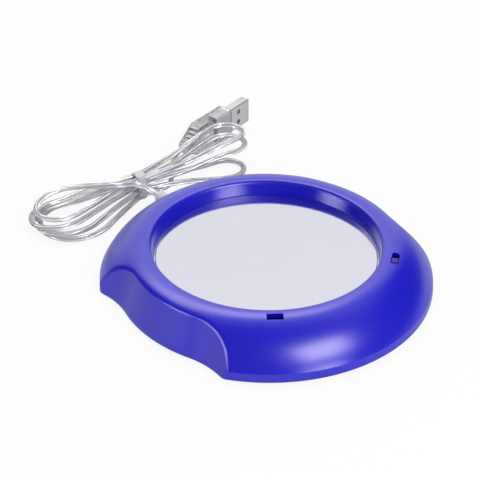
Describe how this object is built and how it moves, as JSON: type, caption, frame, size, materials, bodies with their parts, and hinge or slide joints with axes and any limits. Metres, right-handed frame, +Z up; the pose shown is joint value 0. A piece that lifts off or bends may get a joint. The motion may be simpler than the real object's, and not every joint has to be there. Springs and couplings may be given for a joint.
{
  "type": "mug warmer",
  "caption": "Round desk mug warmer: domed ring with side finger scoops, polished heating plate in a shallow well, slide switch, lamp window and a tied clear lead with a flat plug.",
  "frame": {"origin": "on the table under the middle of the heating plate", "axes": "+Z up; the lead leaves towards +Y; the finger scoops face +X and -X; the switch and the lamp window are at the front, towards -Y"},
  "size_m": [0.1437, 0.1694, 0.0182],
  "materials": {
    "shell_blue": "satin-gloss moulded plastic",
    "cover_blue": "fine textured moulded plastic",
    "foot_rubber": "matt rubber",
    "screw_steel": "zinc plated",
    "polished_plate": "polished stainless steel",
    "heater_film": "amber film",
    "pad_felt": "heat-proof felt",
    "clamp_steel": "plain sheet steel",
    "board_green": "circuit board",
    "switch_black": "moulded plastic",
    "contact_brass": "plated contact metal",
    "knob_grey": "moulded plastic",
    "lamp_clear": "clear resin",
    "wire_jacket": "soft wire jacket",
    "clear_cord": "clear soft jacket over tinned conductors",
    "clear_tie": "clear plastic band",
    "clear_grip": "clear moulded grip",
    "plug_metal": "nickel plated sheet",
    "tongue_white": "moulded plastic"
  },
  "bodies": {
    "housing": {"top_shell": "shell_blue", "base_cover": "cover_blue", "feet": "foot_rubber", "cover_screws": "screw_steel", "heating_plate": "polished_plate", "heater_element": "heater_film", "insulation_pad": "pad_felt", "clamp_plate": "clamp_steel", "clamp_screws": "screw_steel", "control_board": "board_green", "board_screws": "screw_steel", "switch_frame": "clamp_steel", "switch_base": "switch_black", "switch_pins": "contact_brass", "led_lens": "lamp_clear", "led_leads": "contact_brass", "led_resistor": "switch_black", "heater_wires": "wire_jacket", "supply_wires": "wire_jacket", "cord_gland": "clear_cord", "cord_lead": "clear_cord", "cord_hank": "clear_cord", "cord_tie": "clear_tie", "cord_tail": "clear_cord", "plug_overmould": "clear_grip", "plug_shell": "plug_metal", "plug_tongue": "tongue_white", "plug_contacts": "contact_brass"},
    "slider": {"switch_slider": "knob_grey"}
  },
  "joints": [
    {"name": "switch_slide", "type": "slide", "parent": "housing", "child": "slider", "axis": [0.8415, 0.5402, 0], "range_m": [0, 0.0032]}
  ]
}
